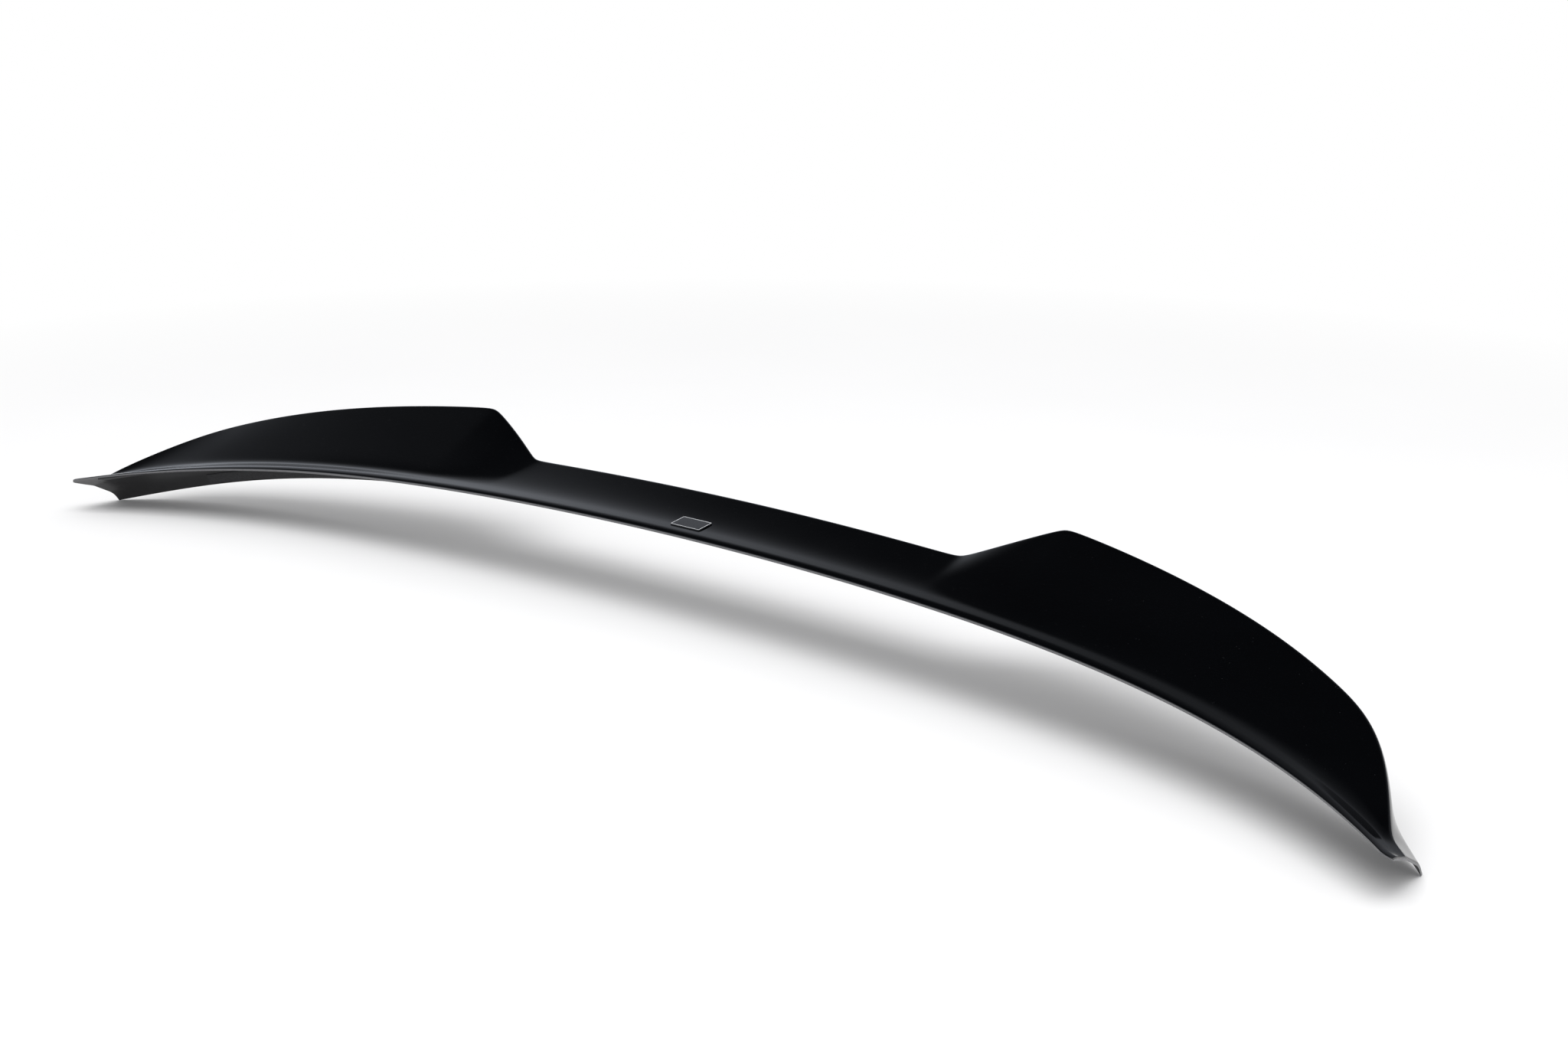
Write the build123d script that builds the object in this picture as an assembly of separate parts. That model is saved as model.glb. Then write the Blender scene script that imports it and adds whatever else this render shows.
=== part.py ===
from build123d import *
import math
import os

# Rear spoiler of the cap kind for a car's boot lid: a thin moulded sheet with a low lip in the middle and a
# raised horn on each side, two strips of bonding tape and a small badge.
# +X is across the car, +Y to the rear and +Z up, in millimetres. The origin lies on the boot lid, in the
# mid-plane, under the middle of the front tape. Depths are measured back from the leading edge, heights up
# from the lid, and tilts down towards the rear.

# Sheet
SPAN = 1150.0
WALL = 3.0
END_WALL = 2.2
EDGE_RADIUS = 0.6
EDGE_ROLL_DEPTH = 6.5
EDGE_ROLL_DROP = 0.45
NOSE_RADIUS = 3.0
INNER_ROUND = 0.8
TIP_CORNER_RADIUS = 4.0
TIP_CORNER_EASE = 0.3

# Leading edge: how far its tips lie ahead of and below its middle, as an even bow and a sweep near the tips
LEAD_BOW = 53.5
LEAD_SWEEP = 55.2
LEAD_POWER = 2.78
CROWN_BOW = 22.7
CROWN_SWEEP = 16.5
CROWN_POWER = 2.45
LID_TILT_MIDDLE = -4.0
LID_TILT_TIP = 20.0
TIP_POWER = 8

# Front flange, which the top face sweeps up from
FLANGE_DEPTH = 13.0
LIP_SWEEP = 21.0
HORN_SWEEP = 12.0

# Middle lip
LIP_HALF_SPAN = 198.7
LIP_CHORD = 66.9
LIP_RISE = 9.5

# Horns: chord and rise at the inner corner, where the end starts to dive, and at the flat end flange
FLANK_RUN = 65.5
FLANK_SOFTNESS = 5.0
HORN_CHORD = 96.8
HORN_RISE = 37.1
TAIL_CHORD = 75.9
TAIL_RISE = 30.3
RISE_POWER = 1.2
DIVE_RUN = 75.9
DIVE_CHORD_POWER = 2.84
DIVE_RISE_POWER = 3.54
END_FLANGE = 10.4
END_CHORD = 25.5
END_SOFTNESS = 2.5

# The end's own profile, which turns down behind its crest with a wide round
END_POWER = 40
END_CREST = 23.9
END_NOSE_RADIUS = 16.0

# Rear flange, which hooks over the boot lid's rear edge
BEND_DEPTH = 61.1
BEND_DROP = 3.1
REAR_BEND = 4.0
END_BEND_RUN = 19.1
END_BEND_DROP = 3.9
END_REAR_BEND = 5.0
REAR_FLANGE_HEIGHT = 18.0
END_REAR_FLANGE_HEIGHT = 8.2
REAR_FLANGE_LEAN = 6.0
END_REAR_FLANGE_LEAN = 40.7

# Bonding tape, with the adhesive film that lies between it and the sheet
TAPE_THICKNESS = 1.0
ADHESIVE_FILM = 0.1
FRONT_TAPE_SETBACK = 3.0
FRONT_TAPE_WIDTH = 9.0
FRONT_TAPE_END_GAP = 20.0
REAR_TAPE_SETBACK = 2.0
REAR_TAPE_WIDTH = 8.0
REAR_TAPE_END_GAP = 65.0

# Badge
BADGE_WIDTH = 27.0
BADGE_HEIGHT = 15.5
BADGE_THICKNESS = 0.8
BADGE_CORNER = 1.5
BADGE_EDGE_RADIUS = 0.3
BADGE_OFFSET = -4.0
BADGE_DEPTH = 19.0

# Worked out from the sizes above
HALF_SPAN = SPAN / 2
FRONT_TAPE_MIDDLE = FRONT_TAPE_SETBACK + FRONT_TAPE_WIDTH / 2
HORN_CORNER = LIP_HALF_SPAN + FLANK_RUN
BODY_END = HALF_SPAN - END_FLANGE
DIVE_START = BODY_END - DIVE_RUN

# Fineness of the model: sections lie closer together over the flanks and the ends, with a gradual change
FACE_POINTS = 7
SOLVER_STEPS = 40
COARSE_SPACING = 30.0
FINE_SPACING = 5.0
CLOSE_STRETCHES = [(LIP_HALF_SPAN + FLANK_RUN / 2, 60.0), (BODY_END, 50.0)]


def soft_floor(value, softness):
    """The value where it is positive, easing to nothing where it is negative."""
    return (value + math.hypot(value, softness)) / 2


def soft_ramp(position, start, end, softness):
    """A straight ramp from 0 to 1 between start and end, with both its knees eased."""
    before = math.hypot(position - start, softness)
    after = math.hypot(position - end, softness)
    return 0.5 + (before - after) / (2 * (end - start))


def mix(first, second, share):
    return first + (second - first) * share


def swept(out, bow, sweep, power):
    """How far an edge has left its middle, this far out from the mid-plane."""
    square = (out / HALF_SPAN) ** 2
    return bow * square + sweep * square ** power


def lead_slope(out):
    """How fast the leading edge runs forward there, in plan."""
    square = (out / HALF_SPAN) ** 2
    return 2 * out / HALF_SPAN ** 2 * (LEAD_BOW + LEAD_SWEEP * LEAD_POWER * square ** (LEAD_POWER - 1))


def heading(angle):
    return Vector(math.cos(angle), math.sin(angle))


def outward(angle):
    """The direction out of the sheet where its outer face runs at this angle."""
    return Vector(-math.sin(angle), math.cos(angle))


def round_handle(radius, turn):
    """The length of a cubic curve's handles that makes it a round of this radius through this turn."""
    return radius * 4 / 3 * math.tan(turn / 4)


class Section:
    """The sheet's cross-section at one place across the car, in (depth, height) from the leading edge."""

    def __init__(self, across):
        self.across = across
        out = abs(across)
        self.lead_y = -swept(out, LEAD_BOW, LEAD_SWEEP, LEAD_POWER) - FRONT_TAPE_MIDDLE
        self.lid_z = -swept(out, CROWN_BOW, CROWN_SWEEP, CROWN_POWER)
        self.tip = (out / HALF_SPAN) ** TIP_POWER
        self.end = (out / HALF_SPAN) ** END_POWER
        self.wall = mix(WALL, END_WALL, self.tip)
        self.flange_top = TAPE_THICKNESS + self.wall
        self.fall = math.tan(math.radians(mix(LID_TILT_MIDDLE, LID_TILT_TIP, self.tip)))
        self.set_crest(out)
        self.set_rear_flange()
        self.set_nose()

    def set_crest(self, out):
        """How far back and how high the section reaches, and how quickly its top face sweeps up."""
        horn = soft_ramp(out, LIP_HALF_SPAN, HORN_CORNER, FLANK_SOFTNESS)
        along = (out - HORN_CORNER) / (DIVE_START - HORN_CORNER)
        horn_chord = mix(HORN_CHORD, TAIL_CHORD, along)
        horn_rise = mix(HORN_RISE, TAIL_RISE, max(0.0, along) ** RISE_POWER)
        dive = max(0.0, (out - DIVE_START) / DIVE_RUN)
        body_chord = mix(LIP_CHORD, horn_chord, horn) - END_CHORD
        body_rise = mix(LIP_RISE, horn_rise, horn) - self.flange_top
        self.chord = END_CHORD + soft_floor(body_chord * (1 - dive ** DIVE_CHORD_POWER), END_SOFTNESS)
        self.rise = self.flange_top + soft_floor(body_rise * (1 - dive ** DIVE_RISE_POWER), END_SOFTNESS)
        self.sweep = mix(LIP_SWEEP, HORN_SWEEP, horn)

    def set_rear_flange(self):
        """Where the rear face would meet the flange, the flange's direction down from there, and its foot."""
        lean = math.radians(mix(REAR_FLANGE_LEAN, END_REAR_FLANGE_LEAN, self.tip))
        self.down = Vector(math.sin(lean), -math.cos(lean))
        self.bend = Vector(
            mix(BEND_DEPTH, END_CHORD + END_BEND_RUN, self.tip),
            mix(-BEND_DROP, self.flange_top - END_BEND_DROP, self.tip),
        )
        self.bend_reach = mix(REAR_BEND, END_REAR_BEND, self.tip)
        self.foot = self.bend + self.down * mix(REAR_FLANGE_HEIGHT, END_REAR_FLANGE_HEIGHT, self.tip)

    def set_nose(self):
        """The rolled trailing edge: its centre, and the slopes of the faces that meet it."""
        self.nose_radius = mix(NOSE_RADIUS, END_NOSE_RADIUS, self.end)
        self.nose = Vector(mix(self.chord - NOSE_RADIUS, END_CREST, self.end), self.rise - self.nose_radius)
        self.top_angle = 0.0
        for _ in range(SOLVER_STEPS):
            start = self.on_nose(self.top_angle)
            run = start.X - FLANGE_DEPTH
            reach = math.hypot(run, self.sweep)
            self.steepness = (start.Y - self.flange_top) / (reach - self.sweep)
            self.top_angle = math.atan(self.steepness * run / reach)
        to_bend = self.bend - self.nose
        self.rear_angle = math.atan2(to_bend.Y, to_bend.X) - math.asin(self.nose_radius / to_bend.length)
        self.back = heading(self.rear_angle)

    def on_nose(self, angle):
        return self.nose + outward(angle) * self.nose_radius

    def slope(self, depth):
        run = max(0.0, depth - FLANGE_DEPTH)
        return math.atan(self.steepness * run / math.hypot(run, self.sweep))

    def on_top(self, depth, inset=0.0):
        """A point of the top face, or of the inner face below it."""
        reach = math.hypot(max(0.0, depth - FLANGE_DEPTH), self.sweep)
        height = self.flange_top + self.steepness * (reach - self.sweep)
        return Vector(depth, height) - outward(self.slope(depth)) * inset

    def inner_round(self):
        """The round inside the trailing edge: the depth where it starts under the top, and its radius."""
        radius = self.nose_radius - self.wall + INNER_ROUND
        inset = self.wall + radius
        normal = outward(self.rear_angle)
        centre_line = self.nose.dot(normal) + self.nose_radius - inset
        far = self.nose.X + 2 * self.nose_radius
        depth = solve(lambda place: self.on_top(place, inset).dot(normal), centre_line, FLANGE_DEPTH, far)
        return depth, radius

    def place(self, point):
        """A point of the section in the part's own frame."""
        fall = (point.X - FRONT_TAPE_MIDDLE) * self.fall
        return Vector(self.across, self.lead_y + point.X, self.lid_z + point.Y - fall)

    def line(self, start, end):
        return Edge.make_line(self.place(start), self.place(end))

    def bezier(self, *points):
        return Edge.make_bezier(*[self.place(point) for point in points])

    def face_curve(self, start, end, inset=0.0):
        """The top face, or the inner face under it, between two depths."""
        shares = [step / (FACE_POINTS - 1) for step in range(FACE_POINTS)]
        points = [self.place(self.on_top(mix(start, end, share), inset)) for share in shares]
        return Edge.make_spline(points, parameters=shares)

    def sheet(self):
        """The closed outline of the sheet: over the top from the front edge and back along the inside."""
        front_low = Vector(0, TAPE_THICKNESS)
        roll_start = Vector(EDGE_RADIUS, self.flange_top - EDGE_ROLL_DROP)
        roll_knee = Vector((EDGE_RADIUS + EDGE_ROLL_DEPTH) / 2, self.flange_top)
        roll_end = Vector(EDGE_ROLL_DEPTH, self.flange_top)
        front_high = Vector(0, roll_start.Y - EDGE_RADIUS)
        edge_handle = round_handle(EDGE_RADIUS, math.pi / 2)
        edge_climb = Vector(0, edge_handle)
        edge_rise = (roll_knee - roll_start).normalized() * edge_handle
        flange_end = Vector(FLANGE_DEPTH, self.flange_top)
        land_end = Vector(FLANGE_DEPTH, TAPE_THICKNESS)
        nose_start = self.on_nose(self.top_angle)
        nose_end = self.on_nose(self.rear_angle)
        nose_handle = round_handle(self.nose_radius, self.top_angle - self.rear_angle)
        rear_normal = outward(self.rear_angle)
        foot_normal = Vector(-self.down.Y, self.down.X)
        mitre = (rear_normal + foot_normal) * (self.wall / (1 + rear_normal.dot(foot_normal)))
        bend_start = self.bend - self.back * self.bend_reach
        bend_end = self.bend + self.down * self.bend_reach
        inner_bend_start = bend_start - rear_normal * self.wall
        inner_bend_end = bend_end - foot_normal * self.wall
        inner_foot = self.foot - foot_normal * self.wall
        round_depth, round_radius = self.inner_round()
        round_start = self.on_top(round_depth, self.wall + round_radius) + rear_normal * round_radius
        round_end = self.on_top(round_depth, self.wall)
        inner_handle = round_handle(round_radius, self.slope(round_depth) - self.rear_angle)
        return Wire([
            self.line(front_low, front_high),
            self.bezier(front_high, front_high + edge_climb, roll_start - edge_rise, roll_start),
            self.bezier(roll_start, roll_knee, roll_end),
            self.line(roll_end, flange_end),
            self.face_curve(FLANGE_DEPTH, nose_start.X),
            self.bezier(
                nose_start,
                nose_start + heading(self.top_angle) * nose_handle,
                nose_end - self.back * nose_handle,
                nose_end,
            ),
            self.line(nose_end, bend_start),
            self.bezier(bend_start, self.bend, bend_end),
            self.line(bend_end, self.foot),
            self.line(self.foot, inner_foot),
            self.line(inner_foot, inner_bend_end),
            self.bezier(inner_bend_end, self.bend - mitre, inner_bend_start),
            self.line(inner_bend_start, round_start),
            self.bezier(
                round_start,
                round_start - self.back * inner_handle,
                round_end + heading(self.slope(round_depth)) * inner_handle,
                round_end,
            ),
            self.face_curve(round_depth, FLANGE_DEPTH, self.wall),
            self.line(land_end, front_low),
        ])

    def bed(self, start, end):
        """The closed outline of the sheet and its adhesive film between two depths of the top face."""
        corners = [self.on_top(end, -ADHESIVE_FILM), self.on_top(end, self.wall)]
        corners += [self.on_top(start, self.wall), self.on_top(start, -ADHESIVE_FILM)]
        sides = [self.line(corners[i], corners[i + 1]) for i in range(3)]
        return Wire([self.face_curve(start, end, -ADHESIVE_FILM), *sides])

    def tape(self, start, along, width):
        """The closed outline of a tape strip that starts here on the sheet's inside and runs along it."""
        off = Vector(along.Y, -along.X)
        near = start + off * ADHESIVE_FILM
        far = start + off * TAPE_THICKNESS
        corners = [near, near + along * width, far + along * width, far]
        return Wire([self.line(corners[i - 1], corners[i]) for i in range(len(corners))])

    def front_tape(self):
        start = Vector(FRONT_TAPE_SETBACK, TAPE_THICKNESS)
        return self.tape(start, Vector(1, 0), FRONT_TAPE_WIDTH)

    def rear_tape(self):
        inner_foot = self.foot - Vector(-self.down.Y, self.down.X) * self.wall
        start = inner_foot - self.down * (REAR_TAPE_SETBACK + REAR_TAPE_WIDTH)
        return self.tape(start, self.down, REAR_TAPE_WIDTH)


def crowding(out):
    """How many spaces between sections lie between the mid-plane and this place."""
    count = out / COARSE_SPACING
    for centre, reach in CLOSE_STRETCHES:
        bell = math.erf((out - centre) / reach) + math.erf(centre / reach)
        extra = 1 / FINE_SPACING - 1 / COARSE_SPACING
        count += extra * bell * reach * math.sqrt(math.pi) / 2
    return count


def solve(rising, target, low, high):
    """Where a rising function reaches the target."""
    for _ in range(SOLVER_STEPS):
        middle = (low + high) / 2
        low, high = (middle, high) if rising(middle) < target else (low, middle)
    return low


def stations(limit):
    """Places for the sections of the right half, from the mid-plane out."""
    spaces = math.ceil(crowding(limit))
    inner = [solve(crowding, crowding(limit) * step / spaces, 0.0, limit) for step in range(spaces)]
    return inner + [limit]


def loft_half(limit, outline):
    """The right half of a solid, through a section's outline."""
    return Solid.make_loft([outline(Section(place)) for place in stations(limit)])


def both_halves(half):
    return half + mirror(half, about=Plane.YZ)


def tip_corner():
    """What is taken off the right tip's front corner, to round it in plan."""
    def centre_out(out):
        return out + TIP_CORNER_RADIUS * Vector(lead_slope(out), 1).normalized().X

    touch = solve(centre_out, HALF_SPAN - TIP_CORNER_RADIUS, 0.0, HALF_SPAN)
    inward = Vector(lead_slope(touch), 1).normalized()
    front = Vector(touch, Section(touch).lead_y)
    centre = front + inward * TIP_CORNER_RADIUS
    side = centre + Vector(TIP_CORNER_RADIUS, 0)
    middle = centre + (Vector(1, 0) - inward).normalized() * (TIP_CORNER_RADIUS - TIP_CORNER_EASE)
    clear = 10 * TIP_CORNER_RADIUS
    outline = Wire([
        Edge.make_three_point_arc(front, middle, side),
        Edge.make_line(side, side + Vector(clear, 0)),
        Edge.make_line(side + Vector(clear, 0), front - inward * clear),
        Edge.make_line(front - inward * clear, front),
    ])
    return extrude(Face(outline), amount=SPAN, dir=(0, 0, 1), both=True)


def spoiler_shell():
    return both_halves(loft_half(HALF_SPAN, Section.sheet) - tip_corner())


def tape_strip(outline, end_gap):
    return both_halves(loft_half(HALF_SPAN - end_gap, outline))


def badge():
    """A thin plate, flat on top, whose underside follows the lip."""
    middle = Section(BADGE_OFFSET)
    front = BADGE_DEPTH - BADGE_HEIGHT / 2
    rear = BADGE_DEPTH + BADGE_HEIGHT / 2
    chord = middle.place(middle.on_top(rear)) - middle.place(middle.on_top(front))
    across = Vector(1, 0, 0)
    seat = Plane(middle.place(middle.on_top(front)) + chord / 2, x_dir=across, z_dir=across.cross(chord))
    plate = seat * RectangleRounded(BADGE_WIDTH, BADGE_HEIGHT, BADGE_CORNER)
    block = extrude(plate, BADGE_THICKNESS, both=True)
    block = fillet(block.faces().sort_by(Axis.Z)[-1].edges(), BADGE_EDGE_RADIUS)
    sections = [Section(BADGE_OFFSET + BADGE_WIDTH * share) for share in (-1.0, 0.0, 1.0)]
    beds = [section.bed(front - BADGE_HEIGHT, rear + BADGE_HEIGHT) for section in sections]
    return block - Solid.make_loft(beds)


nodes = {
    "spoiler_shell": spoiler_shell(),
    "front_tape": tape_strip(Section.front_tape, FRONT_TAPE_END_GAP),
    "rear_tape": tape_strip(Section.rear_tape, REAR_TAPE_END_GAP),
    "badge": badge(),
}
os.makedirs("parts", exist_ok=True)
for name, node in nodes.items():
    export_step(node, f"parts/{name}.step")
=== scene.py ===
import math
import bmesh
import bpy
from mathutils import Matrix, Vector


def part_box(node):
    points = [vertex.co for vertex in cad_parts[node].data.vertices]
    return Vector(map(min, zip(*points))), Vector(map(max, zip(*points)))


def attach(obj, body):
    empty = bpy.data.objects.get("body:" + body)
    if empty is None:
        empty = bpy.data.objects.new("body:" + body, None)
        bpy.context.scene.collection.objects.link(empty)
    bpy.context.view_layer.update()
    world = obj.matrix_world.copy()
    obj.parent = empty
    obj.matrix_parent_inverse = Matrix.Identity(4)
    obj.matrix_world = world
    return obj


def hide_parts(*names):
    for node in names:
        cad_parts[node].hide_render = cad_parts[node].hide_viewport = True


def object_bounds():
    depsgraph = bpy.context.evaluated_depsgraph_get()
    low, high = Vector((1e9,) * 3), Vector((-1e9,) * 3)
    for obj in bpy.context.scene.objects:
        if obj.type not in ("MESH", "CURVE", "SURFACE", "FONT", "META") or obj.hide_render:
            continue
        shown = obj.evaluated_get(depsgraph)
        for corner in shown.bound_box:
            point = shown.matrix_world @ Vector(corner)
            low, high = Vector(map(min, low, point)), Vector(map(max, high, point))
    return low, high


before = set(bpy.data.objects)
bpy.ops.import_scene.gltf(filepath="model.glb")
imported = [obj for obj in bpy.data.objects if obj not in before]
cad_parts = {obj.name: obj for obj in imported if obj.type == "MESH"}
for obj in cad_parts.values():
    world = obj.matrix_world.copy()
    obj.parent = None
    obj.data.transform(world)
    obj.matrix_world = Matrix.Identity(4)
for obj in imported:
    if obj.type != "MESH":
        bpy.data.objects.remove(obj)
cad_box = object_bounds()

scene = bpy.context.scene

# The spoiler's sizes, in millimetres and degrees, as the solids have them, apart from a softer front edge.
# Depths are measured back from the leading edge, heights up from the bonded surface, and tilts down to the
# rear.
MM = 0.001
HALF_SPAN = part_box("spoiler_shell")[1].x / MM
WALL = 3.0
END_WALL = 2.2
EDGE_RADIUS = 0.6
FRONT_EDGE_RADIUS = 0.8
EDGE_ROLL_DEPTH = 6.5
EDGE_ROLL_DROP = 0.65
NOSE_RADIUS = 3.0
INNER_ROUND = 0.8
TIP_CORNER_RADIUS = 4.3
SKIN_INSET = 0.03
LEAD_BOW = 53.5
LEAD_SWEEP = 55.2
LEAD_POWER = 2.78
CROWN_BOW = 22.7
CROWN_SWEEP = 16.5
CROWN_POWER = 2.45
LID_TILT_MIDDLE = -4.0
LID_TILT_TIP = 20.0
TIP_POWER = 8
FLANGE_DEPTH = 13.0
LIP_SWEEP = 21.0
HORN_SWEEP = 12.0
LIP_HALF_SPAN = 198.7
LIP_CHORD = 66.9
LIP_RISE = 9.5
FLANK_RUN = 65.5
FLANK_SOFTNESS = 5.0
HORN_CHORD = 96.8
HORN_RISE = 37.1
TAIL_CHORD = 75.9
TAIL_RISE = 30.3
RISE_POWER = 1.2
DIVE_RUN = 75.9
DIVE_CHORD_POWER = 2.84
DIVE_RISE_POWER = 3.54
END_FLANGE = 10.4
END_CHORD = 25.5
END_SOFTNESS = 2.5
END_POWER = 40
END_CREST = 23.9
END_NOSE_RADIUS = 16.0
BEND_DEPTH = 61.1
BEND_DROP = 3.1
REAR_BEND = 4.0
END_BEND_RUN = 19.1
END_BEND_DROP = 3.9
END_REAR_BEND = 5.0
REAR_FLANGE_HEIGHT = 18.0
END_REAR_FLANGE_HEIGHT = 8.2
REAR_FLANGE_LEAN = 6.0
END_REAR_FLANGE_LEAN = 40.7
TAPE_THICKNESS = 1.0
ADHESIVE_FILM = 0.1
FRONT_TAPE_SETBACK = 3.0
FRONT_TAPE_WIDTH = 9.0
FRONT_TAPE_END_GAP = 20.0
REAR_TAPE_SETBACK = 2.0
REAR_TAPE_WIDTH = 8.0
REAR_TAPE_END_GAP = 65.0
TAPE_BULGE = 0.25
BADGE_WIDTH = 27.0
BADGE_HEIGHT = 15.5
BADGE_THICKNESS = 0.8
BADGE_CORNER = 1.5
BADGE_LEAST_CORNER = 0.05
BADGE_EDGE_RADIUS = 0.3
BADGE_OFFSET = -4.0
BADGE_DEPTH = 19.0
BADGE_RIM_INSET = 0.4
BADGE_RIM_WIDTH = 0.55

FRONT_TAPE_MIDDLE = FRONT_TAPE_SETBACK + FRONT_TAPE_WIDTH / 2
HORN_CORNER = LIP_HALF_SPAN + FLANK_RUN
BODY_END = HALF_SPAN - END_FLANGE
DIVE_START = BODY_END - DIVE_RUN

# Fineness of the meshes: spaces between sections along the span, steps along each stretch of an outline,
# and the angle in degrees from which an edge is shown as sharp
COARSE_SPACING = 4.0
FINE_SPACING = 1.6
CLOSE_STRETCHES = [(LIP_HALF_SPAN + FLANK_RUN / 2, 60.0), (BODY_END, 50.0)]
CORNER_STEPS = 24
EDGE_STEPS = 8
ROLL_STEPS = 8
TOP_STEPS = 40
NOSE_STEPS = 12
REAR_STEPS = 8
BEND_STEPS = 5
FOOT_STEPS = 5
TAPE_SIDE_STEPS = 6
BADGE_CORNER_STEPS = 8
BADGE_EDGE_STEPS = 4
SHARP_ANGLE = 35.0
SOLVER_STEPS = 40


def soft_floor(value, softness):
    """The value where it is positive, easing to nothing where it is negative."""
    return (value + math.hypot(value, softness)) / 2


def soft_ramp(position, start, end, softness):
    """A straight ramp from 0 to 1 between start and end, with both its knees eased."""
    before = math.hypot(position - start, softness)
    after = math.hypot(position - end, softness)
    return 0.5 + (before - after) / (2 * (end - start))


def mix(first, second, share):
    return first + (second - first) * share


def shares(steps):
    return [step / steps for step in range(steps + 1)]


def solve(rising, target, low, high):
    """Where a rising function reaches the target."""
    for _ in range(SOLVER_STEPS):
        middle = (low + high) / 2
        low, high = (middle, high) if rising(middle) < target else (low, middle)
    return low


def swept(out, bow, sweep, power):
    """How far an edge has left its middle, this far out from the mid-plane."""
    square = (out / HALF_SPAN) ** 2
    return bow * square + sweep * square ** power


def lead_line(out):
    return -swept(out, LEAD_BOW, LEAD_SWEEP, LEAD_POWER) - FRONT_TAPE_MIDDLE


def lead_slope(out):
    """How fast the leading edge runs forward there, in plan."""
    square = (out / HALF_SPAN) ** 2
    return 2 * out / HALF_SPAN ** 2 * (LEAD_BOW + LEAD_SWEEP * LEAD_POWER * square ** (LEAD_POWER - 1))


def heading(angle):
    return Vector((math.cos(angle), math.sin(angle)))


def outward(angle):
    """The direction out of the sheet where its outer face runs at this angle."""
    return Vector((-math.sin(angle), math.cos(angle)))


def across_lines(first, second, steps):
    return [first.lerp(second, share) for share in shares(steps)]


def curve_points(start, corner, end, steps):
    """A soft bend from start to end that heads for the corner between them."""
    return [start.lerp(corner, share).lerp(corner.lerp(end, share), share) for share in shares(steps)]


def tip_round():
    """Where the round of the tip's front corner leaves the leading edge, and its centre, both in plan."""
    def centre_out(out):
        slope = lead_slope(out)
        return out + TIP_CORNER_RADIUS * slope / math.hypot(slope, 1)

    touch = solve(centre_out, HALF_SPAN - TIP_CORNER_RADIUS, 0.0, HALF_SPAN)
    inward = Vector((lead_slope(touch), 1)).normalized()
    return touch, Vector((touch, lead_line(touch))) + inward * TIP_CORNER_RADIUS


TIP_TOUCH, TIP_CENTRE = tip_round()


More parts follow.
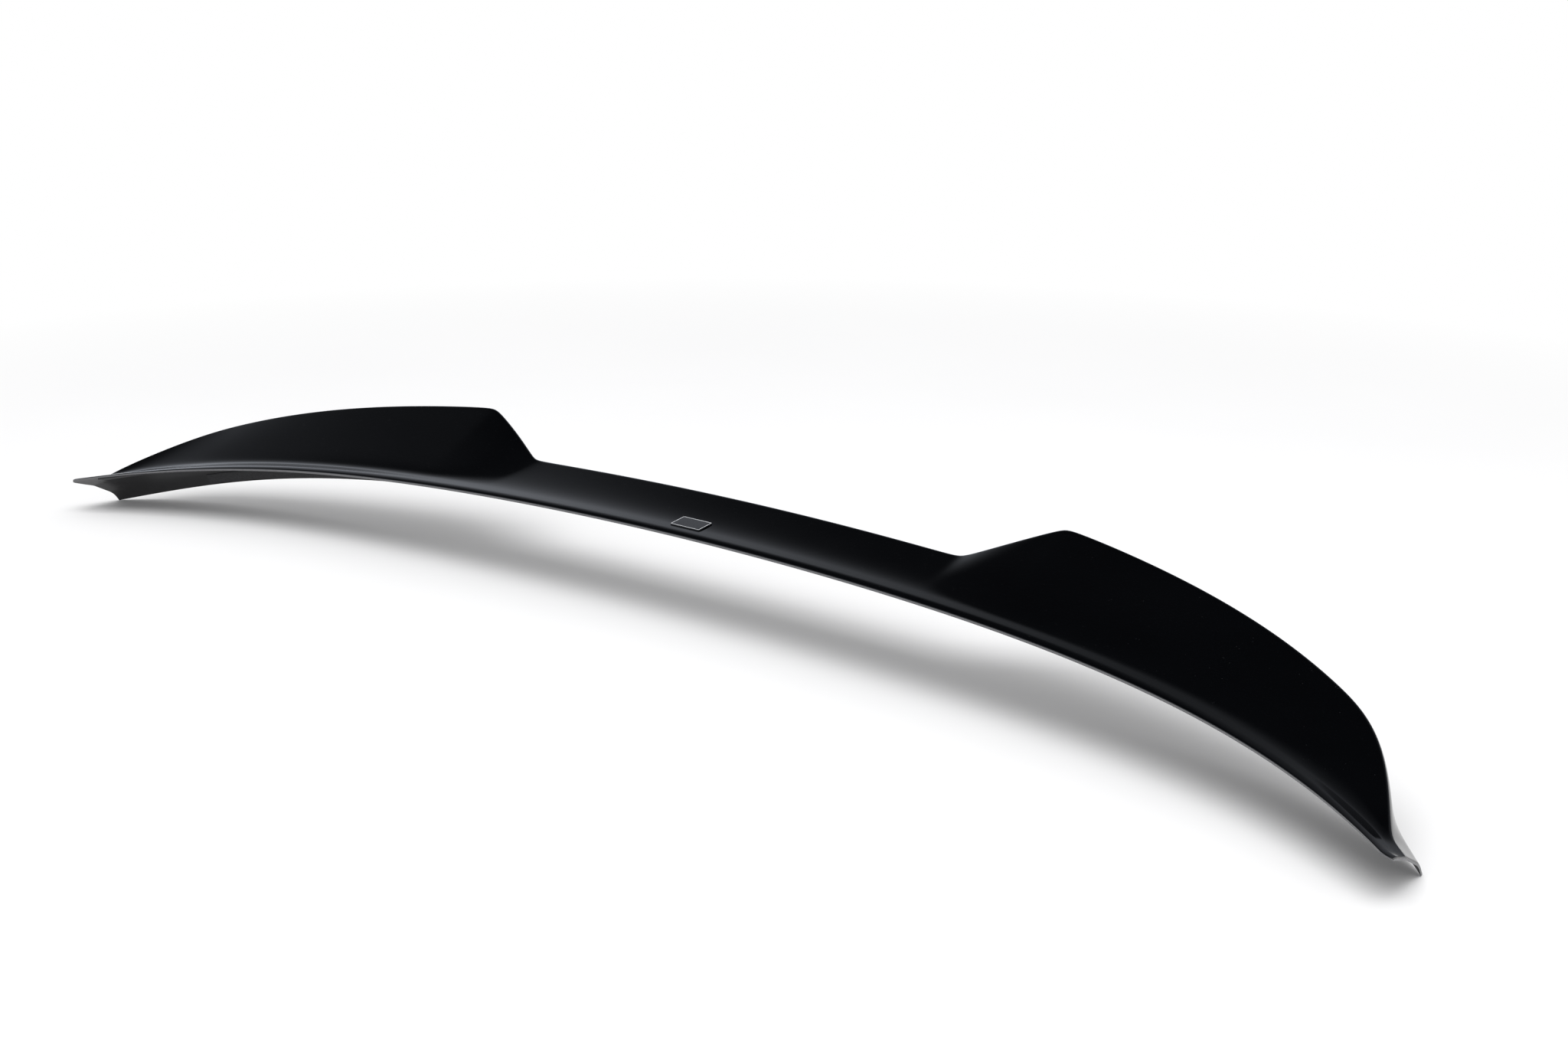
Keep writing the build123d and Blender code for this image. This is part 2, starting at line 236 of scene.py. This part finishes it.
class Section:
    """The sheet's cross-section at one place along the span, in (depth, height) from the leading edge."""

    def __init__(self, across):
        self.across = across
        out = abs(across)
        self.lead_y = lead_line(out)
        self.lid_z = -swept(out, CROWN_BOW, CROWN_SWEEP, CROWN_POWER)
        self.tip = (out / HALF_SPAN) ** TIP_POWER
        self.end = (out / HALF_SPAN) ** END_POWER
        self.wall = mix(WALL, END_WALL, self.tip)
        self.flange_top = TAPE_THICKNESS + self.wall
        self.fall = math.tan(math.radians(mix(LID_TILT_MIDDLE, LID_TILT_TIP, self.tip)))
        self.set_front(out)
        self.set_crest(out)
        self.set_rear_flange()
        self.set_nose()

    def set_front(self, out):
        """Where the sheet starts: at the leading edge, or behind it at the tip's round corner. Also the
        front edge's round, and how far the outer face has sunk in the round of the end's own edge."""
        self.front = SKIN_INSET
        self.edge_radius = mix(FRONT_EDGE_RADIUS, EDGE_RADIUS, self.tip)
        if out > TIP_TOUCH:
            reach = TIP_CORNER_RADIUS ** 2 - (out - TIP_CENTRE.x) ** 2
            self.front += TIP_CENTRE.y - math.sqrt(max(0.0, reach)) - self.lead_y
        past = max(0.0, out - HALF_SPAN + EDGE_RADIUS)
        self.sunk = SKIN_INSET + EDGE_RADIUS - math.sqrt(max(0.0, EDGE_RADIUS ** 2 - past ** 2))

    def set_crest(self, out):
        """How far back and how high the section reaches, and how quickly its top face sweeps up."""
        horn = soft_ramp(out, LIP_HALF_SPAN, HORN_CORNER, FLANK_SOFTNESS)
        along = (out - HORN_CORNER) / (DIVE_START - HORN_CORNER)
        horn_chord = mix(HORN_CHORD, TAIL_CHORD, along)
        horn_rise = mix(HORN_RISE, TAIL_RISE, max(0.0, along) ** RISE_POWER)
        dive = max(0.0, (out - DIVE_START) / DIVE_RUN)
        body_chord = mix(LIP_CHORD, horn_chord, horn) - END_CHORD
        body_rise = mix(LIP_RISE, horn_rise, horn) - self.flange_top
        self.chord = END_CHORD + soft_floor(body_chord * (1 - dive ** DIVE_CHORD_POWER), END_SOFTNESS)
        self.rise = self.flange_top + soft_floor(body_rise * (1 - dive ** DIVE_RISE_POWER), END_SOFTNESS)
        self.sweep = mix(LIP_SWEEP, HORN_SWEEP, horn)

    def set_rear_flange(self):
        """The corner where the rear face would meet the flange, the flange's way down, and its foot."""
        lean = math.radians(mix(REAR_FLANGE_LEAN, END_REAR_FLANGE_LEAN, self.tip))
        self.down = Vector((math.sin(lean), -math.cos(lean)))
        self.foot_normal = Vector((-self.down.y, self.down.x))
        self.bend = Vector((
            mix(BEND_DEPTH, END_CHORD + END_BEND_RUN, self.tip),
            mix(-BEND_DROP, self.flange_top - END_BEND_DROP, self.tip),
        ))
        self.bend_reach = mix(REAR_BEND, END_REAR_BEND, self.tip)
        self.foot = self.bend + self.down * mix(REAR_FLANGE_HEIGHT, END_REAR_FLANGE_HEIGHT, self.tip)

    def set_nose(self):
        """The rolled trailing edge: its centre, and the slopes of the faces that meet it."""
        self.nose_radius = mix(NOSE_RADIUS, END_NOSE_RADIUS, self.end)
        depth = mix(self.chord - NOSE_RADIUS, END_CREST, self.end)
        self.nose = Vector((depth, self.rise - self.nose_radius))
        self.top_angle = 0.0
        for _ in range(SOLVER_STEPS):
            start = self.on_nose(self.top_angle)
            run = start.x - FLANGE_DEPTH
            reach = math.hypot(run, self.sweep)
            self.steepness = (start.y - self.flange_top) / (reach - self.sweep)
            self.top_angle = math.atan(self.steepness * run / reach)
        to_bend = self.bend - self.nose
        self.rear_angle = math.atan2(to_bend.y, to_bend.x) - math.asin(self.nose_radius / to_bend.length)
        self.back = heading(self.rear_angle)
        self.rear_normal = outward(self.rear_angle)

    def on_nose(self, angle, inset=0.0):
        return self.nose + outward(angle) * (self.nose_radius - inset)

    def slope(self, depth):
        run = max(0.0, depth - FLANGE_DEPTH)
        return math.atan(self.steepness * run / math.hypot(run, self.sweep))

    def on_top(self, depth, inset=0.0):
        """A point of the top face, or of the inner face below it."""
        reach = math.hypot(max(0.0, depth - FLANGE_DEPTH), self.sweep)
        height = self.flange_top + self.steepness * (reach - self.sweep)
        return Vector((depth, height)) - outward(self.slope(depth)) * inset

    def place(self, point):
        """A point of the section in the part's own frame, in metres."""
        fall = (point.x - FRONT_TAPE_MIDDLE) * self.fall
        return Vector((self.across, self.lead_y + point.x, self.lid_z + point.y - fall)) * MM

    def rear_points(self, start, inset):
        """Down the rear face from start, round its bend and down the flange, inset from the outer face."""
        mitre = (self.rear_normal + self.foot_normal) / (1 + self.rear_normal.dot(self.foot_normal))
        bend_start = self.bend - self.back * self.bend_reach - self.rear_normal * inset
        bend_end = self.bend + self.down * self.bend_reach - self.foot_normal * inset
        points = across_lines(start, bend_start, REAR_STEPS)[:-1]
        points += curve_points(bend_start, self.bend - mitre * inset, bend_end, BEND_STEPS)[:-1]
        return points + across_lines(bend_end, self.foot - self.foot_normal * inset, FOOT_STEPS)

    def outer_points(self):
        """Over the outside, from the top of the front edge's flat face to the foot."""
        sunk = self.sunk
        level = self.flange_top - sunk
        roll_start = Vector((self.front + self.edge_radius, level - EDGE_ROLL_DROP))
        roll_end = Vector((self.front + EDGE_ROLL_DEPTH, level))
        roll_knee = Vector(((roll_start.x + roll_end.x) / 2, level))
        edge_start = Vector((self.front, roll_start.y - self.edge_radius))
        knee_drop = self.edge_radius * EDGE_ROLL_DROP / (roll_knee.x - roll_start.x)
        edge_knee = Vector((self.front, roll_start.y - knee_drop))
        points = curve_points(edge_start, edge_knee, roll_start, EDGE_STEPS)[:-1]
        points += curve_points(roll_start, roll_knee, roll_end, ROLL_STEPS)[:-1]
        top_end = self.on_nose(self.top_angle).x
        points += [self.on_top(mix(roll_end.x, top_end, share), sunk) for share in shares(TOP_STEPS)[:-1]]
        turns = [mix(self.top_angle, self.rear_angle, share) for share in shares(NOSE_STEPS)]
        points += [self.on_nose(turn, sunk) for turn in turns[:-1]]
        return points + self.rear_points(self.on_nose(self.rear_angle, sunk), sunk)

    def inner_points(self):
        """Along the inside, step for step with the outer points."""
        normal = self.rear_normal
        wall = self.wall
        radius = self.nose_radius - wall + INNER_ROUND
        centre_line = self.nose.dot(normal) - INNER_ROUND
        far = self.nose.x + 2 * self.nose_radius

        def centre_reach(depth):
            """How far out the inner round's centre lies, across the rear face, from a top of this depth."""
            return self.on_top(depth, wall + radius).dot(normal)

        depth = solve(centre_reach, centre_line, FLANGE_DEPTH, far)
        centre = self.on_top(depth, wall + radius)
        steps = EDGE_STEPS + ROLL_STEPS + TOP_STEPS
        turns = [mix(self.slope(depth), self.rear_angle, share) for share in shares(NOSE_STEPS)]
        points = [self.on_top(mix(self.front, depth, share), wall) for share in shares(steps)[:-1]]
        points += [centre + outward(turn) * radius for turn in turns[:-1]]
        return points + self.rear_points(centre + normal * radius, wall)

    def tape_points(self, start, along, width):
        """Round a strip of tape that starts here on the sheet's inside. Its sides bulge a little, by half
        the bulge past the strip's width."""
        off = Vector((along.y, -along.x))
        points = []
        for near, side in ((0.0, -1), (width, 1)):
            turns = [share * math.pi for share in shares(TAPE_SIDE_STEPS)]
            for turn in turns if side > 0 else reversed(turns):
                level = mix(ADHESIVE_FILM, TAPE_THICKNESS, (1 - math.cos(turn)) / 2)
                bulge = side * TAPE_BULGE * (math.sin(turn) - 0.5)
                points.append(start + along * (near + bulge) + off * level)
        return points

    def front_tape_points(self):
        start = Vector((FRONT_TAPE_SETBACK, TAPE_THICKNESS))
        return self.tape_points(start, Vector((1, 0)), FRONT_TAPE_WIDTH)

    def rear_tape_points(self):
        inner_foot = self.foot - self.foot_normal * self.wall
        start = inner_foot - self.down * (REAR_TAPE_SETBACK + REAR_TAPE_WIDTH)
        return self.tape_points(start, self.down, REAR_TAPE_WIDTH)


def crowding(out):
    """How many spaces between sections lie between the mid-plane and this place."""
    count = out / COARSE_SPACING
    for centre, reach in CLOSE_STRETCHES:
        bell = math.erf((out - centre) / reach) + math.erf(centre / reach)
        extra = 1 / FINE_SPACING - 1 / COARSE_SPACING
        count += extra * bell * reach * math.sqrt(math.pi) / 2
    return count


def half_stations(limit):
    """Places for the sections of one half, past the mid-plane."""
    total = crowding(limit)
    spaces = math.ceil(total)
    return [solve(crowding, total * step / spaces, 0.0, limit) for step in range(1, spaces)] + [limit]


def both_sides(half):
    return [-place for place in reversed(half)] + [0.0] + half


def make_object(name, points, faces, materials, face_materials, replaced):
    """A mesh piece of the spoiler, with smooth faces that break at its true edges."""
    mesh = bpy.data.meshes.new(name)
    mesh.from_pydata([tuple(point) for point in points], [], faces)
    for material in materials:
        mesh.materials.append(material)
    mesh.polygons.foreach_set("material_index", face_materials)
    work = bmesh.new()
    work.from_mesh(mesh)
    bmesh.ops.recalc_face_normals(work, faces=work.faces)
    work.to_mesh(mesh)
    work.free()
    mesh.shade_smooth()
    mesh.set_sharp_from_angle(angle=math.radians(SHARP_ANGLE))
    piece = bpy.data.objects.new(name, mesh)
    scene.collection.objects.link(piece)
    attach(piece, "root")
    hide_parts(replaced)


def make_shell(outer, inner, edge):
    """The moulded sheet: its outside, its inside, and the trimmed edges that join them all round."""
    first_turn = math.asin((TIP_TOUCH - TIP_CENTRE.x) / TIP_CORNER_RADIUS)
    turns = [mix(first_turn, math.pi / 2, share) for share in shares(CORNER_STEPS)[1:]]
    round_end = [TIP_CENTRE.x + TIP_CORNER_RADIUS * math.sin(turn) for turn in turns[:-1]] + [HALF_SPAN]
    sections = [Section(place) for place in both_sides(half_stations(TIP_TOUCH) + round_end)]
    points = []
    for section in sections:
        points += [section.place(point) for point in section.outer_points() + section.inner_points()]
    ring = len(points) // len(sections)
    side = ring // 2
    last = ring * (len(sections) - 1)
    outside, inside, trimmed = range(3)
    faces = []
    kinds = []
    for start in range(0, last, ring):
        for near in range(start, start + side - 1):
            far = near + ring
            faces.append((near, far, far + 1, near + 1))
            faces.append((near + side, near + side + 1, far + side + 1, far + side))
            kinds += [outside, inside]
        for near in (start, start + side - 1):
            far = near + ring
            faces.append((near, near + side, far + side, far))
            kinds.append(trimmed)
    for start in (0, last):
        for near in range(start, start + side - 1):
            faces.append((near, near + 1, near + side + 1, near + side))
            kinds.append(trimmed)
    materials = (outer, inner, edge)
    make_object("spoiler_shell_moulded", points, faces, materials, kinds, "spoiler_shell")


def make_tape(name, outline, end_gap, material, replaced):
    """A strip of foam tape along the span, short of both tips by its end gap."""
    sections = [Section(place) for place in both_sides(half_stations(HALF_SPAN - end_gap))]
    points = []
    for section in sections:
        points += [section.place(point) for point in outline(section)]
    ring = len(points) // len(sections)
    faces = []
    for start in range(0, ring * (len(sections) - 1), ring):
        after = start + ring
        for step in range(ring):
            other = (step + 1) % ring
            faces.append((start + step, after + step, after + other, start + other))
    faces.append(tuple(range(ring)))
    faces.append(tuple(range(len(points) - ring, len(points))))
    make_object(name, points, faces, (material,), [0] * len(faces), replaced)


def badge_loop(inset):
    """The badge's outline in plan, this far inside its edge."""
    radius = max(BADGE_LEAST_CORNER, BADGE_CORNER - inset)
    half_width = BADGE_WIDTH / 2 - inset - radius
    half_height = BADGE_HEIGHT / 2 - inset - radius
    corners = [(1, 1), (-1, 1), (-1, -1), (1, -1)]
    loop = []
    for quarter, (right, up) in enumerate(corners):
        for share in shares(BADGE_CORNER_STEPS):
            turn = (quarter + share) * math.pi / 2
            loop.append(Vector((right * half_width, up * half_height)) + heading(turn) * radius)
    return loop


def make_badge(field, rim):
    """A thin plate, flat on top, that lies on the lip and follows it underneath."""
    middle = Section(BADGE_OFFSET)
    front = middle.place(middle.on_top(BADGE_DEPTH - BADGE_HEIGHT / 2))
    rear = middle.place(middle.on_top(BADGE_DEPTH + BADGE_HEIGHT / 2))
    along = (rear - front).normalized()
    across = Vector((1, 0, 0))
    up = across.cross(along)

    def on_plate(spot, height):
        return (front + rear) / 2 + (across * spot.x + along * spot.y + up * height) * MM

    rounds = [share * math.pi / 2 for share in shares(BADGE_EDGE_STEPS)]
    edge = [(BADGE_EDGE_RADIUS * (1 - math.cos(turn)), math.sin(turn)) for turn in rounds]
    levels = [(inset, BADGE_THICKNESS + BADGE_EDGE_RADIUS * (rise - 1)) for inset, rise in edge]
    rim_end = BADGE_RIM_INSET + BADGE_RIM_WIDTH
    levels += [(BADGE_RIM_INSET, BADGE_THICKNESS), (rim_end, BADGE_THICKNESS)]
    points = []
    for spot in badge_loop(0.0):
        section = Section(BADGE_OFFSET + spot.x)
        depth = on_plate(spot, 0).y / MM - section.lead_y
        points.append(section.place(section.on_top(depth, -ADHESIVE_FILM)))
    ring = len(points)
    for inset, height in levels:
        points += [on_plate(spot, height) for spot in badge_loop(inset)]
    last = len(points) - ring
    plain, printed = range(2)
    faces = []
    kinds = []
    for start in range(0, last, ring):
        for step in range(ring):
            other = (step + 1) % ring
            faces.append((start + step, start + other, start + ring + other, start + ring + step))
            kinds.append(printed if start + ring == last else plain)
    faces.append(tuple(range(ring)))
    faces.append(tuple(range(last, len(points))))
    kinds += [plain, plain]
    make_object("badge_plate", points, faces, (field, rim), kinds, "badge")


# Materials: the range that a noise mostly keeps to, the refraction of plastic, and how dust is spread
NOISE_RANGE = (0.3, 0.7)
PLASTIC_IOR = 1.5
SPECK_CORE = 0.4
DUST_PATCH_SCALE = 0.37
DUST_PATCH_EDGE = 0.03


class Tree:
    """A node tree, with short calls to add and join nodes."""

    def __init__(self, tree):
        self.tree = tree

    def add(self, kind, **values):
        node = self.tree.nodes.new(kind)
        for key, value in values.items():
            setattr(node, key, value)
        return node

    def join(self, output, socket):
        self.tree.links.new(output, socket)

    def fill(self, socket, value):
        """Gives a socket a number, a colour or another node's output."""
        if isinstance(value, float):
            socket.default_value = value
        elif isinstance(value, tuple):
            socket.default_value = (*value, 1.0)
        else:
            self.join(value, socket)

    def remap(self, value, source, target, **values):
        """Carries a value from one range to another, each given by its ends, and holds it between them."""
        node = self.add("ShaderNodeMapRange", **values)
        for key, number in zip(("From Min", "From Max", "To Min", "To Max"), (*source, *target)):
            node.inputs[key].default_value = number
        self.join(value, node.inputs["Value"])
        return node.outputs["Result"]

    def maths(self, operation, *values):
        node = self.add("ShaderNodeMath", operation=operation)
        for socket, value in zip(node.inputs, values):
            self.fill(socket, value)
        return node.outputs["Value"]

    def blend(self, share, first, second, data_type="RGBA"):
        """Between two colours, or between two numbers with the data type FLOAT."""
        node = self.add("ShaderNodeMix", data_type=data_type)
        self.join(share, node.inputs["Factor"])
        self.fill(node.inputs["A"], first)
        self.fill(node.inputs["B"], second)
        return node.outputs["Result"]

    def fade(self, share, first, second):
        """Between two shaders."""
        node = self.add("ShaderNodeMixShader")
        self.join(share, node.inputs["Fac"])
        self.join(first, node.inputs[1])
        self.join(second, node.inputs[2])
        return node.outputs["Shader"]

    def backdrop_rays(self):
        """Which rays see the backdrop, and which mirror it: 1 for those, 0 for others."""
        path = self.add("ShaderNodeLightPath").outputs
        mirrored = self.maths("MAXIMUM", path["Is Glossy Ray"], path["Is Transmission Ray"])
        return path["Is Camera Ray"], mirrored


class Nodes(Tree):
    """A material and its node tree."""

    def __init__(self, name):
        self.material = bpy.data.materials.new(name)
        self.material.use_nodes = True
        super().__init__(self.material.node_tree)
        self.shader = self.tree.nodes["Principled BSDF"]
        self.coords = self.add("ShaderNodeTexCoord").outputs["Object"]

    def set(self, **values):
        for key, value in values.items():
            self.shader.inputs[key.replace("_", " ")].default_value = value

    def stretched(self, scale):
        """The part's own coordinates, stretched."""
        node = self.add("ShaderNodeMapping")
        node.inputs["Scale"].default_value = scale
        self.join(self.coords, node.inputs["Vector"])
        return node.outputs["Vector"]

    def noise(self, scale, detail=2.0, rough=0.5, coords=None):
        node = self.add("ShaderNodeTexNoise")
        node.inputs["Scale"].default_value = scale
        node.inputs["Detail"].default_value = detail
        node.inputs["Roughness"].default_value = rough
        self.join(coords or self.coords, node.inputs["Vector"])
        return node.outputs["Fac"]

    def cells(self, scale):
        node = self.add("ShaderNodeTexVoronoi")
        node.inputs["Scale"].default_value = scale
        self.join(self.coords, node.inputs["Vector"])
        return node.outputs["Distance"]

    def bump(self, height, distance, strength, below=None):
        node = self.add("ShaderNodeBump")
        node.inputs["Distance"].default_value = distance
        node.inputs["Strength"].default_value = strength
        self.join(height, node.inputs["Height"])
        if below:
            self.join(below, node.inputs["Normal"])
        return node.outputs["Normal"]

    def finish(self, colour=None, rough=None, normal=None):
        for output, key in ((colour, "Base Color"), (rough, "Roughness"), (normal, "Normal")):
            if output:
                self.join(output, self.shader.inputs[key])
        return self.material


def dust(nodes, scale, size, rarity):
    """Fine specks, gathered in patches: 1 on a speck, 0 elsewhere."""
    speck = nodes.remap(nodes.cells(scale), (size, size * SPECK_CORE), (0.0, 1.0))
    patches = nodes.noise(scale * DUST_PATCH_SCALE, detail=0.0)
    patch = nodes.remap(patches, (rarity, rarity + DUST_PATCH_EDGE), (0.0, 1.0))
    return nodes.maths("MULTIPLY", speck, patch)


def gloss_plastic():
    """Gloss black moulded sheet: deep black, a trace of orange peel, wiping haze and specks of dust."""
    nodes = Nodes("gloss_black_sheet")
    haze = nodes.noise(9.0, detail=3.0, rough=0.6, coords=nodes.stretched((1.0, 2.5, 2.5)))
    tone = nodes.blend(haze, (0.0004, 0.0005, 0.0008), (0.0010, 0.0012, 0.0017))
    specks = dust(nodes, scale=420.0, size=0.12, rarity=0.65)
    colour = nodes.blend(specks, tone, (0.025, 0.025, 0.027))
    rough = nodes.remap(haze, NOISE_RANGE, (0.06, 0.10))
    peel = nodes.bump(nodes.noise(260.0, detail=1.0), distance=0.0004, strength=0.012)
    normal = nodes.bump(specks, distance=0.0001, strength=0.1, below=peel)
    nodes.set(IOR=PLASTIC_IOR)
    return nodes.finish(colour, rough, normal)


def sheet_back():
    """The sheet's inside: the same plastic, satin and grained, its black lifted as painted fill light."""
    nodes = Nodes("satin_black_sheet_back_painted_fill")
    cloud = nodes.noise(14.0, detail=3.0)
    # Painted fill light: this black is lifted above the outside's to stand in for light the inside lacks
    colour = nodes.blend(cloud, (0.018, 0.018, 0.019), (0.030, 0.030, 0.0315))
    rough = nodes.remap(cloud, NOISE_RANGE, (0.42, 0.55))
    grain = nodes.bump(nodes.noise(1600.0), distance=0.0003, strength=0.35)
    nodes.set(IOR=PLASTIC_IOR)
    return nodes.finish(colour, rough, grain)


def edge_with_painted_reflection():
    """The trimmed edge of the sheet, with fine cutter marks along it; its grey is a painted reflection."""
    nodes = Nodes("trimmed_edge_painted_reflection")
    marks = nodes.noise(1.0, rough=0.6, coords=nodes.stretched((40.0, 900.0, 2200.0)))
    # Painted reflection: this grey stands in for the bright band mirrored along the edge
    colour = nodes.blend(marks, (0.095, 0.096, 0.101), (0.14, 0.141, 0.148))
    rough = nodes.remap(marks, NOISE_RANGE, (0.24, 0.36))
    normal = nodes.bump(marks, distance=0.0001, strength=0.15)
    nodes.set(IOR=PLASTIC_IOR)
    return nodes.finish(colour, rough, normal)


def foam():
    """Closed-cell foam tape."""
    nodes = Nodes("foam_tape")
    cells = nodes.cells(2600.0)
    colour = nodes.blend(cells, (0.030, 0.030, 0.032), (0.060, 0.060, 0.063))
    rough = nodes.remap(nodes.noise(600.0), NOISE_RANGE, (0.75, 0.95))
    normal = nodes.bump(cells, distance=0.0003, strength=0.5)
    return nodes.finish(colour, rough, normal)


def badge_field():
    """A blank dark print under clear gloss."""
    nodes = Nodes("badge_field")
    fleck = nodes.noise(2400.0)
    colour = nodes.blend(fleck, (0.002, 0.002, 0.003), (0.006, 0.006, 0.008))
    rough = nodes.remap(nodes.noise(90.0), NOISE_RANGE, (0.12, 0.2))
    normal = nodes.bump(nodes.noise(180.0), distance=0.0003, strength=0.03)
    nodes.set(IOR=PLASTIC_IOR, Coat_Weight=0.5, Coat_Roughness=0.05)
    return nodes.finish(colour, rough, normal)


def badge_rim():
    """The pale printed border."""
    nodes = Nodes("badge_rim")
    colour = nodes.blend(nodes.noise(700.0), (0.52, 0.53, 0.55), (0.66, 0.67, 0.69))
    rough = nodes.remap(nodes.noise(300.0), NOISE_RANGE, (0.25, 0.4))
    nodes.set(Coat_Weight=0.5, Coat_Roughness=0.05)
    return nodes.finish(colour, rough)


# Stage: a pale floor under the tips, a white surround that is dim overhead, a soft lamp and the camera, in
# metres and degrees. A fade or reach says where a change starts and where it ends. In the surround, the
# rear's middle is turned from straight back towards +X, the rear and sides reach in degrees from there, low
# and upper reaches are heights from 0 at the horizon to 1 straight up, and the glow's reach is the cosine
# of the angle to its middle.
FLOOR_SIZE = 60.0
FLOOR_FADE = (0.75, 1.35)
REAR_MIDDLE = 10.0
REAR_REACH = (32.0, 48.0)
REAR_LEVEL = 0.1
REAR_UPPER_LEVEL = 0.07
SIDE_REACH = (72.0, 95.0)
SIDE_LIFT = 0.13
SIDE_UPPER_LEVEL = 0.065
LOW_REACH = (0.12, 0.60)
UPPER_REACH = (0.60, 0.95)
GLOW_TOWARDS = (0.1, -0.45, 0.89)
GLOW_REACH = (0.81, 0.99)
OVERHEAD_LEVELS = (0.02, 0.82)
MIRRORED_TINT = (0.92, 0.97, 1.07)
AMBIENT = 0.75
LAMP_PLACE = (0.3, -0.4, 2.2)
LAMP_SIZE = (2.4, 1.6)
LAMP_POWER = 34.0
CAMERA_LENS_MM = 50.0
CAMERA_SENSOR_MM = 36.0
CAMERA_PLACE = (0.9651, -1.1023, 0.45138)
CAMERA_TILT = 16.79
CAMERA_TURN = 38.48


def make_floor():
    """Pale under the spoiler, where it keeps the shadow, white further out, and clear from below."""
    nodes = Nodes("pale_floor")
    nodes.set(Roughness=0.9, Specular_IOR_Level=0.1)
    colour = nodes.blend(nodes.noise(3.0, detail=3.0), (0.86, 0.86, 0.865), (0.90, 0.90, 0.905))
    nodes.finish(colour)
    length = nodes.add("ShaderNodeVectorMath", operation="LENGTH")
    nodes.join(nodes.coords, length.inputs[0])
    far = nodes.remap(length.outputs["Value"], FLOOR_FADE, (0.0, 1.0))
    white = nodes.add("ShaderNodeEmission")
    white.inputs["Strength"].default_value = 1.0
    share = nodes.maths("MULTIPLY", far, nodes.maths("MAXIMUM", *nodes.backdrop_rays()))
    shown = nodes.fade(share, nodes.shader.outputs["BSDF"], white.outputs["Emission"])
    clear = nodes.add("ShaderNodeBsdfTransparent").outputs["BSDF"]
    below = nodes.add("ShaderNodeNewGeometry").outputs["Backfacing"]
    surface = nodes.tree.nodes["Material Output"].inputs["Surface"]
    nodes.join(nodes.fade(below, shown, clear), surface)
    bpy.ops.mesh.primitive_plane_add(size=FLOOR_SIZE, location=(0, 0, cad_box[0].z))
    floor = bpy.context.object
    floor.name = "floor"
    floor.data.materials.append(nodes.material)


def make_world():
    """White for the camera. Mirrored, it is white low down, dim overhead and behind the spoiler, and has a
    soft glow high in front."""
    world = bpy.data.worlds.new("studio")
    scene.world = world
    world.use_nodes = True
    nodes = Tree(world.node_tree)
    towards = nodes.add("ShaderNodeTexCoord").outputs["Generated"]
    split = nodes.add("ShaderNodeSeparateXYZ")
    nodes.join(towards, split.inputs["Vector"])
    height = split.outputs["Z"]
    turn = nodes.maths("ARCTAN2", split.outputs["X"], split.outputs["Y"])
    aside = nodes.maths("ABSOLUTE", nodes.maths("SUBTRACT", turn, math.radians(REAR_MIDDLE)))
    degrees = nodes.maths("DEGREES", aside)
    eased = {"interpolation_type": "SMOOTHSTEP"}
    rear = nodes.remap(degrees, REAR_REACH, (REAR_LEVEL, 1.0), **eased)
    behind = nodes.remap(degrees, REAR_REACH, (REAR_UPPER_LEVEL, 0.0), **eased)
    side = nodes.remap(degrees, SIDE_REACH, (0.0, 1.0), **eased)
    lifted = nodes.maths("SUBTRACT", height, nodes.maths("MULTIPLY", side, SIDE_LIFT))
    low = nodes.remap(lifted, LOW_REACH, (1.0, 0.0), **eased)
    around = nodes.maths("ADD", behind, nodes.maths("MULTIPLY", side, SIDE_UPPER_LEVEL))
    upper = nodes.maths("MULTIPLY", around, nodes.remap(height, UPPER_REACH, (1.0, 0.0)))
    near = nodes.add("ShaderNodeVectorMath", operation="DOT_PRODUCT")
    near.inputs[1].default_value = GLOW_TOWARDS
    nodes.join(towards, near.inputs[0])
    overhead = nodes.remap(near.outputs["Value"], GLOW_REACH, OVERHEAD_LEVELS, **eased)
    level = nodes.maths("ADD", nodes.maths("MULTIPLY", low, rear), nodes.maths("ADD", upper, overhead))
    seen, mirrored = nodes.backdrop_rays()
    strength = nodes.blend(mirrored, AMBIENT, level, "FLOAT")
    strength = nodes.blend(seen, strength, 1.0, "FLOAT")
    back = nodes.tree.nodes["Background"]
    nodes.join(nodes.blend(mirrored, (1.0, 1.0, 1.0), MIRRORED_TINT), back.inputs["Color"])
    nodes.join(strength, back.inputs["Strength"])


def make_lamp():
    """A soft lamp overhead that shines on the part's origin, and is neither seen nor mirrored."""
    light = bpy.data.lights.new("soft_top", "AREA")
    light.shape = "RECTANGLE"
    light.size, light.size_y = LAMP_SIZE
    light.energy = LAMP_POWER
    lamp = bpy.data.objects.new("soft_top", light)
    lamp.location = LAMP_PLACE
    lamp.rotation_euler = (-Vector(LAMP_PLACE)).to_track_quat("-Z", "Y").to_euler()
    lamp.visible_glossy = False
    lamp.visible_camera = False
    scene.collection.objects.link(lamp)


def make_camera():
    """At the photograph's place, tilted down from level and turned from straight back towards -X."""
    optics = bpy.data.cameras.new("camera")
    optics.lens = CAMERA_LENS_MM
    optics.sensor_width = CAMERA_SENSOR_MM
    optics.sensor_fit = "HORIZONTAL"
    camera = bpy.data.objects.new("camera", optics)
    camera.location = CAMERA_PLACE
    camera.rotation_euler = (math.radians(90 - CAMERA_TILT), 0, math.radians(CAMERA_TURN))
    scene.collection.objects.link(camera)
    scene.camera = camera


make_shell(gloss_plastic(), sheet_back(), edge_with_painted_reflection())
tape_material = foam()
make_tape("front_foam_tape", Section.front_tape_points, FRONT_TAPE_END_GAP, tape_material, "front_tape")
make_tape("rear_foam_tape", Section.rear_tape_points, REAR_TAPE_END_GAP, tape_material, "rear_tape")
make_badge(badge_field(), badge_rim())
make_floor()
make_world()
make_lamp()
make_camera()
scene.view_settings.view_transform = "Standard"
